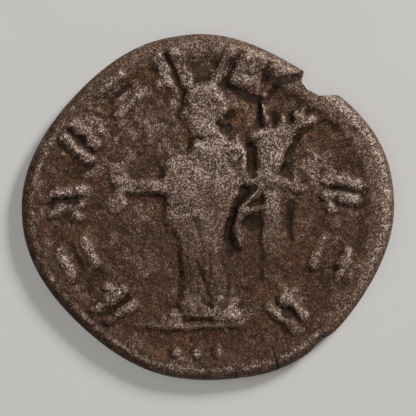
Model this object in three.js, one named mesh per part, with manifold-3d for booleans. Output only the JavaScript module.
// A worn ancient silver-alloy coin of the radiate denomination, lying on its obverse.
//
// Units are millimetres and +Z is up. The reverse, with a standing draped figure, faces up and the
// obverse, with a radiate bust, faces down. The figure's head points to +Y. The origin is under the
// middle of the flan, on the surface that the coin lies on.
//
// The flan is a turned solid drawn out to the coin's uneven outline. Each raised part of the design
// is a small solid set into the field, and a level plane on each face wears the highest ones flat.
import * as THREE from 'three';
import { mergeVertices } from 'three/addons/utils/BufferGeometryUtils.js';
import Module from 'manifold-3d';

const wasm = await Module();
wasm.setup();

const { degToRad, euclideanModulo, lerp, radToDeg, smoothstep } = THREE.MathUtils;

// The flan, which is the struck blank
const flanWidth = 22.0;
const flanHeight = 20.45;
const fieldThickness = 1.0;
const edgeWallHeight = 0.5;
const shoulderWidthLeft = 0.62;
const shoulderWidthRight = 0.34;
const flanSegments = 72;

// The raised border of each face: its flat crest and the slope down to the field
const borderRise = 0.2;
const crestWidthLeft = 0.25;
const crestWidthRight = 0.95;
const borderSlopeWidth = 0.75;

// The reverse die, struck a little off the middle of the flan
const dieOffset = [-0.24, 0.24];
const figureHeight = 14.0;
const figureRelief = 0.44;
const figureAxisX = -0.35;
const groundY = -6.78;
const groundLineX = -1.05;
const groundLineLength = 6.0;
const groundLineWidth = 0.5;
const exergueX = -0.65;
const exergueY = -8.6;
const exergueSpacing = 1.2;
const reverseWearHeight = 0.4;

// The obverse die
const headHeight = 8.2;
const chinY = -1.5;
const bustRelief = 0.4;
const crownRays = 7;
const crownRayLength = 2.2;
const crownRayLean = [50, 145];
const obverseWearHeight = 0.36;

// The legends, as rows of short strokes round both faces
const legendRadius = 8.1;
const markHeight = 2.3;
const strokeWidth = 0.56;
const strokeRelief = 0.24;
const pelletDiameter = 0.8;

// How far each raised part is set into the flan below the field
const footDepth = 0.1;
const keelDepth = 0.3;

// Flattened stretches of the flan's edge: where, how far to each side in degrees, and how deep.
// A negative depth is a bulge.
const edgeFlats = [
  { at: 143, spread: 38, depth: 0.43 },
  { at: 222, spread: 36, depth: 0.35 },
  { at: 293, spread: 18, depth: -0.12 },
  { at: 310, spread: 6, depth: 0.14 },
  { at: 332, spread: 30, depth: 0.24 },
  { at: 54, spread: 42, depth: 0.66 },
];

// The notch where a splinter of the edge is lost, as corners of the lost piece
const notch = [[5.66, 8.2], [5.53, 7.42], [5.89, 7.0], [6.6, 6.6], [7.2, 6.5], [7.7, 6.62], [8.4, 7.8]];

// Splits that run in from the edge, as corners, and how far they reach below the border
const cracks = [
  [[4.1, -10.2], [4.6, -9.9], [4.05, -8.9], [3.72, -8.2], [3.84, -9.0]],
  [[1.45, -10.6], [1.75, -10.6], [1.62, -9.75]],
];
const crackDepth = 0.3;

// Solids

// The solid of a closed geometry.
function solidOf(geometry) {
  geometry.deleteAttribute('normal');
  geometry.deleteAttribute('uv');
  const merged = mergeVertices(geometry, 1e-4);
  const mesh = new wasm.Mesh({
    numProp: 3,
    vertProperties: merged.getAttribute('position').array,
    triVerts: merged.index.array,
  });
  return new wasm.Manifold(mesh);
}

// A closed solid through rings of points, each with a single point beyond it at either end.
function loft(start, rings, end) {
  const size = rings[0].length;
  const points = [start, ...rings.flat(), end];
  const last = points.length - 1;
  const corner = (ring, k) => 1 + ring * size + (k % size);
  const triangles = [];
  for (let k = 0; k < size; k++) {
    triangles.push(0, corner(0, k), corner(0, k + 1));
    triangles.push(last, corner(rings.length - 1, k + 1), corner(rings.length - 1, k));
    for (let ring = 1; ring < rings.length; ring++) {
      const [a, b] = [corner(ring - 1, k), corner(ring - 1, k + 1)];
      const [c, d] = [corner(ring, k), corner(ring, k + 1)];
      triangles.push(a, d, b, a, c, d);
    }
  }
  const geometry = new THREE.BufferGeometry().setFromPoints(points);
  geometry.setIndex(triangles);
  return solidOf(geometry);
}

// A cross-section of a ridge: an arch over the field with a keel below it, inside the flan. Pleats
// lower every other point of the arch by a share of its height.
function arch({ centre, along, half, relief, pleats }, { across, fullness }) {
  const side = new THREE.Vector2(-along.y, along.x);
  const ring = [];
  for (let k = 0; k <= across; k++) {
    const share = pleats ? (2 * k) / across - 1 : -Math.cos((Math.PI * k) / across);
    const height = (1 - Math.abs(share) ** fullness) ** (1 / fullness);
    const lowered = pleats && k % 2 ? 1 - pleats : 1;
    const z = (relief + footDepth) * height * lowered - footDepth;
    ring.push(new THREE.Vector3(centre.x + side.x * share * half, centre.y + side.y * share * half, z));
  }
  ring.push(new THREE.Vector3(centre.x, centre.y, -keelDepth));
  return ring;
}

// A ridge with rounded ends along stations, each a place on the face with a half width and a
// relief. Its cross-sections lie across its own line, or all across the direction it is given. The
// ends reach out by a share of the half width there.
function ridge(stations, { across = 3, fullness = 2, direction, reach = 1 } = {}) {
  const places = stations.map(({ at: [x, y] }) => new THREE.Vector2(x, y));
  const rings = stations.map((station, i) => {
    const before = places[Math.max(i - 1, 0)];
    const after = places[Math.min(i + 1, places.length - 1)];
    return { ...station, centre: places[i], along: direction ?? after.clone().sub(before).normalize() };
  });
  const beyond = (ring, outwards, narrowing) => ({
    ...ring,
    centre: ring.centre.clone().addScaledVector(ring.along, outwards * reach * ring.half),
    half: ring.half * narrowing,
    relief: ring.relief * narrowing,
  });
  const tip = (ring, outwards) => {
    const { centre } = beyond(ring, outwards, 0);
    return new THREE.Vector3(centre.x, centre.y, -footDepth);
  };
  const [first, last] = [rings[0], rings[rings.length - 1]];
  const [out, narrowing] = [0.6, 0.76];
  const sections = [beyond(first, -out, narrowing), ...rings, beyond(last, out, narrowing)];
  return loft(tip(first, -1), sections.map((ring) => arch(ring, { across, fullness })), tip(last, 1));
}

// A straight ridge, which may taper.
const bar = (from, to, [startHalf, endHalf], relief, options) =>
  ridge([{ at: from, half: startHalf, relief }, { at: to, half: endHalf, relief }], options);

// A ridge along a smooth curve.
function ribbon(points, [startHalf, endHalf], relief, pieces = 4) {
  const curve = new THREE.SplineCurve(points.map(([x, y]) => new THREE.Vector2(x, y)));
  const stations = curve.getPoints(pieces).map((p, i) => ({
    at: [p.x, p.y],
    half: lerp(startHalf, endHalf, i / pieces),
    relief,
  }));
  return ridge(stations);
}

// A low dome over an ellipse, turned by an angle in degrees.
function dome([x, y], [halfLength, halfWidth], relief, { turn = 0, around = 10, rings = 2 } = {}) {
  const profile = [new THREE.Vector2(0, -keelDepth)];
  for (let k = 0; k <= rings; k++) {
    const rise = (k / rings) * (Math.PI / 2);
    profile.push(new THREE.Vector2(Math.cos(rise), (relief + footDepth) * Math.sin(rise) - footDepth));
  }
  profile[profile.length - 1].x = 0;
  const geometry = new THREE.LatheGeometry(profile, around);
  geometry.rotateX(Math.PI / 2);
  geometry.scale(halfLength, halfWidth, 1);
  geometry.rotateZ(degToRad(turn));
  geometry.translate(x, y, 0);
  return solidOf(geometry);
}

// An upright block of the corners given, from one height to another.
function prism(corners, bottom, top) {
  const shape = new THREE.Shape(corners.map(([x, y]) => new THREE.Vector2(x, y)));
  const geometry = new THREE.ExtrudeGeometry(shape, { depth: top - bottom, bevelEnabled: false });
  geometry.translate(0, 0, bottom);
  return solidOf(geometry);
}

// The flan

// Swells from 0 to 1 and back as the angle passes a place, in degrees.
function bump(angle, at, spread) {
  const halfTurn = 180;
  const away = Math.abs(euclideanModulo(angle - at + halfTurn, 2 * halfTurn) - halfTurn);
  return away < spread ? Math.cos((away / spread) * (Math.PI / 2)) ** 2 : 0;
}

function outlineRadius(angle) {
  const turn = degToRad(angle);
  const ellipse = 1 / Math.hypot((2 * Math.cos(turn)) / flanWidth, (2 * Math.sin(turn)) / flanHeight);
  return ellipse - edgeFlats.reduce((sum, flat) => sum + flat.depth * bump(angle, flat.at, flat.spread), 0);
}

// Half of the flan's profile, from the edge wall to the field. Each point is a height over the
// flan's middle plane and a distance from the outline, which depends on how far right it is.
function halfProfile() {
  const wall = edgeWallHeight / 2;
  const crest = fieldThickness / 2 + borderRise;
  const steps = 3;
  const points = [];
  for (let k = 0; k <= steps; k++) {
    const turn = (k / steps) * (Math.PI / 2);
    const share = 1 - Math.cos(turn);
    const inwards = [shoulderWidthLeft * share, shoulderWidthRight * share];
    points.push({ z: lerp(wall, crest, Math.sin(turn)), inwards });
  }
  const crestInwards = [shoulderWidthLeft + crestWidthLeft, shoulderWidthRight + crestWidthRight];
  const fieldInwards = crestInwards.map((width) => width + borderSlopeWidth);
  points.push({ z: crest, inwards: crestInwards });
  points.push({ z: fieldThickness / 2, inwards: fieldInwards });
  return points;
}

function flan() {
  const half = halfProfile();
  const lower = half.map(({ z, inwards }) => ({ z: -z, inwards })).reverse();
  const rings = [...lower, ...half];
  const axis = { z: fieldThickness / 2, inwards: null };
  const profile = [{ ...axis, z: -axis.z }, ...rings, axis];
  const leftUpTo = -0.3;
  const spacing = 1 / rings.length;
  const lathePoints = profile.map(({ z }, i) =>
    new THREE.Vector2(i === 0 || i === profile.length - 1 ? 0 : 1 + i * spacing, z),
  );
  const geometry = new THREE.LatheGeometry(lathePoints, flanSegments);
  geometry.rotateX(Math.PI / 2);
  const positions = geometry.getAttribute('position');
  for (let i = 0; i < positions.count; i++) {
    const point = profile[i % profile.length];
    if (!point.inwards) continue;
    const turn = Math.atan2(positions.getY(i), positions.getX(i));
    const rightwards = smoothstep(Math.cos(turn), leftUpTo, 1);
    const radius = outlineRadius(radToDeg(turn)) - lerp(...point.inwards, rightwards);
    positions.setXYZ(i, radius * Math.cos(turn), radius * Math.sin(turn), point.z);
  }
  return solidOf(geometry);
}

// The standing figure of the reverse. Its places and widths are shares of its height, from a
// point between its feet.

const onFigure = ([x, y]) => [figureAxisX + x * figureHeight, groundY + y * figureHeight];
const figureHalves = (halves) => halves.map((half) => half * figureHeight);

const figureBar = (from, to, halves, relief, options) =>
  bar(onFigure(from), onFigure(to), figureHalves(halves), relief * figureRelief, options);

const figureDome = (centre, halves, relief, options) =>
  dome(onFigure(centre), figureHalves(halves), relief * figureRelief, options);

const figureRibbon = (points, halves, relief, pieces) =>
  ribbon(points.map(onFigure), figureHalves(halves), relief * figureRelief, pieces);

// An upright part between a left and a right outline, given at levels from the top down. A level is
// a height, the left and right outline there, the relief and how deep the pleats are.
function figureTrunk(levels, options) {
  const stations = levels.map(([y, left, right, relief, pleats]) => ({
    at: onFigure([(left + right) / 2, y]),
    half: ((right - left) / 2) * figureHeight,
    relief: relief * figureRelief,
    pleats,
  }));
  return ridge(stations, { ...options, direction: new THREE.Vector2(0, -1) });
}

function head() {
  const skull = figureTrunk(
    [
      [0.965, -0.045, 0.07, 0.8],
      [0.925, -0.068, 0.09, 0.95],
      [0.875, -0.074, 0.088, 0.95],
      [0.83, -0.066, 0.06, 0.85],
      [0.795, -0.055, 0.015, 0.65],
    ],
    { across: 6, reach: 0.5 },
  );
  return [
    skull,
    figureBar([-0.07, 0.893], [-0.082, 0.864], [0.012, 0.017], 0.6),
    figureBar([-0.02, 0.895], [-0.05, 0.893], [0.012, 0.012], 1.1),
    figureRibbon([[-0.055, 0.93], [0.01, 0.965], [0.07, 0.935], [0.085, 0.885]], [0.026, 0.032], 1.15),
    figureRibbon([[-0.045, 0.965], [0.01, 0.99], [0.065, 0.965]], [0.018, 0.02], 0.9, 3),
    figureDome([0.095, 0.865], [0.034, 0.036], 0.85),
    figureBar([0.03, 0.8], [0.06, 0.735], [0.042, 0.055], 0.8),
  ];
}

function bodyAndDress() {
  const torso = figureTrunk(
    [
      [0.74, -0.03, 0.15, 0.7],
      [0.7, -0.095, 0.178, 0.8],
      [0.63, -0.145, 0.182, 0.82],
      [0.54, -0.153, 0.16, 0.82],
      [0.45, -0.153, 0.122, 0.8],
      [0.41, -0.148, 0.105, 0.75],
    ],
    { across: 6, fullness: 2.8, reach: 0.3 },
  );
  const skirt = figureTrunk(
    [
      [0.43, -0.14, 0.102, 0.82, 0.1],
      [0.34, -0.1, 0.094, 0.88, 0.3],
      [0.2, -0.093, 0.1, 0.85, 0.35],
      [0.03, -0.104, 0.155, 0.8, 0.35],
    ],
    { across: 12, fullness: 3, reach: 0.12 },
  );
  const mantleRolls = [
    figureRibbon([[-0.14, 0.425], [-0.03, 0.445], [0.07, 0.525], [0.16, 0.61]], [0.024, 0.03], 1.2),
    figureRibbon([[-0.14, 0.5], [-0.03, 0.53], [0.09, 0.62]], [0.014, 0.016], 1.05, 3),
    figureRibbon([[-0.12, 0.58], [-0.02, 0.6], [0.06, 0.67]], [0.014, 0.016], 1.05, 3),
  ];
  return [
    torso,
    skirt,
    ...mantleRolls,
    figureRibbon([[-0.02, 0.745], [0.06, 0.71], [0.155, 0.735]], [0.022, 0.026], 1.2, 3),
    figureBar([0.168, 0.7], [0.175, 0.63], [0.028, 0.026], 1.1),
  ];
}

function feet() {
  return [
    figureDome([-0.112, 0.018], [0.034, 0.02], 0.6, { turn: 20 }),
    figureDome([0.1, 0.026], [0.072, 0.034], 0.9, { turn: -6 }),
  ];
}

// The arm held out to the left, with a purse that hangs from the hand.
function offeringArm() {
  const stations = [
    { at: onFigure([-0.09, 0.66]), half: 0.05 * figureHeight, relief: 0.95 * figureRelief },
    { at: onFigure([-0.15, 0.572]), half: 0.042 * figureHeight, relief: 0.9 * figureRelief },
    { at: onFigure([-0.33, 0.568]), half: 0.028 * figureHeight, relief: 0.85 * figureRelief },
  ];
  return [
    ridge(stations),
    figureDome([-0.352, 0.605], [0.06, 0.036], 1.0, { turn: 118 }),
    figureDome([-0.358, 0.49], [0.052, 0.046], 0.7),
    figureBar([-0.352, 0.56], [-0.356, 0.53], [0.02, 0.022], 0.6),
  ];
}

// The bent arm that carries the horn, with its hand at the right.
function carryingArm() {
  return [
    figureBar([0.2, 0.598], [0.345, 0.585], [0.036, 0.032], 0.95),
    figureDome([0.372, 0.585], [0.052, 0.03], 1.0, { turn: -50 }),
  ];
}

// The horn of plenty, flaring upwards to a rim with fruit and ears of corn over it.
function horn() {
  return [
    figureTrunk(
      [
        [0.775, 0.208, 0.4, 0.8],
        [0.71, 0.232, 0.358, 0.78],
        [0.6, 0.24, 0.328, 0.7],
      ],
      { across: 4, reach: 0.3 },
    ),
    figureRibbon([[0.212, 0.782], [0.34, 0.797], [0.452, 0.845]], [0.026, 0.03], 1.0, 3),
    figureDome([0.33, 0.85], [0.028, 0.03], 0.85),
    figureBar([0.274, 0.83], [0.252, 0.91], [0.02, 0.014], 0.85),
    figureBar([0.395, 0.86], [0.42, 0.89], [0.022, 0.016], 0.8),
    figureRibbon([[0.256, 0.94], [0.275, 0.975], [0.33, 1.0]], [0.012, 0.018], 0.55, 3),
  ];
}

// The mantle that falls from the carrying arm: one long fall and two curling edges.
function mantle() {
  return [
    figureTrunk([[0.535, 0.25, 0.338, 0.62], [0.18, 0.252, 0.33, 0.35]], { reach: 0.5 }),
    figureRibbon([[0.245, 0.565], [0.165, 0.5], [0.14, 0.41], [0.148, 0.32]], [0.02, 0.012], 0.75),
    figureRibbon([[0.24, 0.5], [0.19, 0.47], [0.172, 0.4]], [0.014, 0.01], 0.6, 3),
  ];
}

function groundAndExergue() {
  const half = groundLineWidth / 2;
  const middle = groundLineX;
  const ends = [-1, 1].map((side) => [middle + (side * groundLineLength) / 2, groundY - half]);
  const pelletHalf = pelletDiameter / 2;
  const pellets = [-1, 0, 1].map((i) =>
    dome([exergueX + i * exergueSpacing, exergueY], [pelletHalf, pelletHalf], strokeRelief),
  );
  return [bar(ends[0], ends[1], [half, half], strokeRelief), ...pellets];
}

// The legends. A mark is two strokes and a pellet, in shares of its height: the first number runs
// along the row and the second outwards.
const marks = [
  { strokes: [[[-0.34, -0.4], [-0.14, 0.42]], [[0.08, -0.42], [0.3, 0.38]]], pellet: [0.42, -0.3] },
  { strokes: [[[-0.36, 0.34], [0.34, 0.38]], [[-0.32, -0.36], [0.36, -0.34]]], pellet: [0.0, 0.0] },
  { strokes: [[[0.28, -0.42], [0.1, 0.42]], [[-0.14, -0.38], [-0.32, 0.36]]], pellet: [-0.44, -0.3] },
];

function legendMark({ strokes, pellet }, angle, [centreX, centreY]) {
  const turn = degToRad(angle);
  const place = ([along, out]) => {
    const [aside, radius] = [along * markHeight, legendRadius + out * markHeight];
    return [
      centreX + radius * Math.cos(turn) + aside * Math.sin(turn),
      centreY + radius * Math.sin(turn) - aside * Math.cos(turn),
    ];
  };
  const half = strokeWidth / 2;
  const pelletHalf = pelletDiameter / 2;
  return [
    ...strokes.map(([from, to]) => bar(place(from), place(to), [half, half], strokeRelief)),
    dome(place(pellet), [pelletHalf, pelletHalf], strokeRelief, { around: 8 }),
  ];
}

// A row of marks round the face, from an angle in degrees on in steps.
const legendRow = ({ count, start, step, centre }) =>
  Array.from({ length: count }, (_, i) =>
    legendMark(marks[i % marks.length], start + i * step, centre),
  ).flat();

// The bust of the obverse, in profile to the right as that face is looked at. Its places and
// widths are shares of the head's height, from the chin.

const onHead = ([x, y]) => [x * headHeight, chinY + y * headHeight];
const headHalves = (halves) => halves.map((half) => half * headHeight);

const headBar = (from, to, halves, relief, options) =>
  bar(onHead(from), onHead(to), headHalves(halves), relief * bustRelief, options);

const headDome = (centre, halves, relief, options) =>
  dome(onHead(centre), headHalves(halves), relief * bustRelief, options);

const headRibbon = (points, halves, relief, pieces) =>
  ribbon(points.map(onHead), headHalves(halves), relief * bustRelief, pieces);

// An upright part of the bust, given at levels as the figure's trunks are.
function headTrunk(levels, options) {
  const stations = levels.map(([y, left, right, relief]) => ({
    at: onHead([(left + right) / 2, y]),
    half: ((right - left) / 2) * headHeight,
    relief: relief * bustRelief,
  }));
  return ridge(stations, { ...options, direction: new THREE.Vector2(0, -1) });
}

function bustHead() {
  const skull = headTrunk(
    [
      [0.9, -0.24, 0.2, 0.6],
      [0.79, -0.37, 0.33, 0.8],
      [0.6, -0.43, 0.37, 0.96],
      [0.42, -0.36, 0.37, 0.96],
      [0.22, -0.22, 0.36, 0.85],
      [0.08, -0.1, 0.34, 0.65],
    ],
    { across: 6, fullness: 2.2, reach: 0.5 },
  );
  return [
    skull,
    headDome([-0.04, 0.43], [0.045, 0.08], 1.25, { turn: 10 }),
    headBar([0.24, 0.565], [0.36, 0.555], [0.026, 0.028], 0.85),
    headDome([0.28, 0.49], [0.05, 0.032], 0.8, { around: 8 }),
    headBar([0.36, 0.54], [0.44, 0.37], [0.03, 0.045], 0.55),
    headBar([0.34, 0.24], [0.39, 0.235], [0.028, 0.028], 0.55),
    headBar([0.34, 0.165], [0.375, 0.16], [0.028, 0.028], 0.55),
    headTrunk([[0.2, -0.26, 0.14, 0.7], [-0.2, -0.34, 0.14, 0.7]], { across: 4, reach: 0.5 }),
  ];
}

// The crown: a band round the head, and rays that stand up from it.
function radiateCrown() {
  const band = [[0.36, 0.68], [0.14, 0.78], [-0.16, 0.74], [-0.4, 0.56]];
  const crownRise = 0.16;
  const curve = new THREE.SplineCurve(band.map(([x, y]) => new THREE.Vector2(x, y)));
  const rays = Array.from({ length: crownRays }, (_, i) => {
    const share = i / (crownRays - 1);
    const lean = degToRad(lerp(...crownRayLean, share));
    const root = curve.getPoint(share);
    root.y += crownRise * Math.sin(Math.PI * share);
    const reach = crownRayLength / headHeight;
    const tip = [root.x + reach * Math.cos(lean), root.y + reach * Math.sin(lean)];
    return headBar([root.x, root.y], tip, [0.045, 0.014], 0.75);
  });
  return [headRibbon(band, [0.034, 0.034], 1.1), ...rays];
}

// The ties of the crown, which hang at the nape.
function crownTies() {
  return [
    headRibbon([[-0.4, 0.5], [-0.5, 0.36], [-0.49, 0.2]], [0.022, 0.03], 0.6, 3),
    headRibbon([[-0.4, 0.44], [-0.43, 0.28], [-0.54, 0.1]], [0.022, 0.03], 0.6, 3),
  ];
}

// Draped shoulders, with folds that sweep down across the chest. The folds stand as high as the
// crown's band, and the coin lies on both.
function shoulders() {
  const count = 3;
  const folds = Array.from({ length: count }, (_, i) => {
    const drop = 0.14 * i;
    const sweep = [[0.32 - 0.04 * i, -0.28 - drop], [-0.08, -0.42 - drop], [-0.5 + 0.06 * i, -0.34 - drop]];
    return headRibbon(sweep, [0.036, 0.036], 1.1);
  });
  return [headDome([-0.1, -0.47], [0.58, 0.34], 0.7, { around: 20, rings: 3 }), ...folds];
}

// The coin

const reverseDesign = [
  ...head(),
  ...bodyAndDress(),
  ...feet(),
  ...offeringArm(),
  ...carryingArm(),
  ...horn(),
  ...mantle(),
  ...groundAndExergue(),
  ...legendRow({ count: 7, start: 229, step: -25.2, centre: dieOffset }),
  ...legendRow({ count: 3, start: 5, step: -29, centre: dieOffset }),
];

const obverseDesign = [
  ...bustHead(),
  ...radiateCrown(),
  ...crownTies(),
  ...shoulders(),
  ...legendRow({ count: 5, start: 208, step: -21, centre: [0, 0] }),
  ...legendRow({ count: 5, start: 52, step: -21, centre: [0, 0] }),
];

// The coin as one closed geometry, lying on its lowest face with its middle over the origin.
function coinGeometry() {
  const field = fieldThickness / 2;
  const joined = (parts) => parts.reduce((whole, part) => whole.add(part));
  const reverse = joined(reverseDesign).translate([0, 0, field]);
  const obverse = joined(obverseDesign).rotate([0, 180, 0]).translate([0, 0, -field]);

  const clear = 2;
  const [bottom, top] = [-field - obverseWearHeight, field + reverseWearHeight];
  const worn = new THREE.BoxGeometry(flanWidth + clear, flanHeight + clear, top - bottom);
  worn.translate(0, 0, (top + bottom) / 2);
  let coin = flan().add(reverse).add(obverse).intersect(solidOf(worn));
  coin = coin.subtract(prism(notch, bottom - clear, top + clear));
  for (const corners of cracks) coin = coin.subtract(prism(corners, field - crackDepth, top + clear));

  const { vertProperties, triVerts } = coin.getMesh();
  const geometry = new THREE.BufferGeometry();
  geometry.setAttribute('position', new THREE.BufferAttribute(vertProperties, 3));
  geometry.setIndex(new THREE.BufferAttribute(triVerts, 1));
  geometry.computeBoundingBox();
  const middle = geometry.boundingBox.getCenter(new THREE.Vector3());
  geometry.translate(-middle.x, -middle.y, -geometry.boundingBox.min.z);
  geometry.computeVertexNormals();
  return geometry;
}

const patinatedSilver = new THREE.MeshStandardMaterial({
  name: 'patinated_silver',
  color: 0x75655a,
  roughness: 0.58,
  metalness: 0.75,
});

const coin = new THREE.Mesh(coinGeometry(), patinatedSilver);
coin.name = 'coin';

const root = new THREE.Group();
root.add(coin);

export default root;
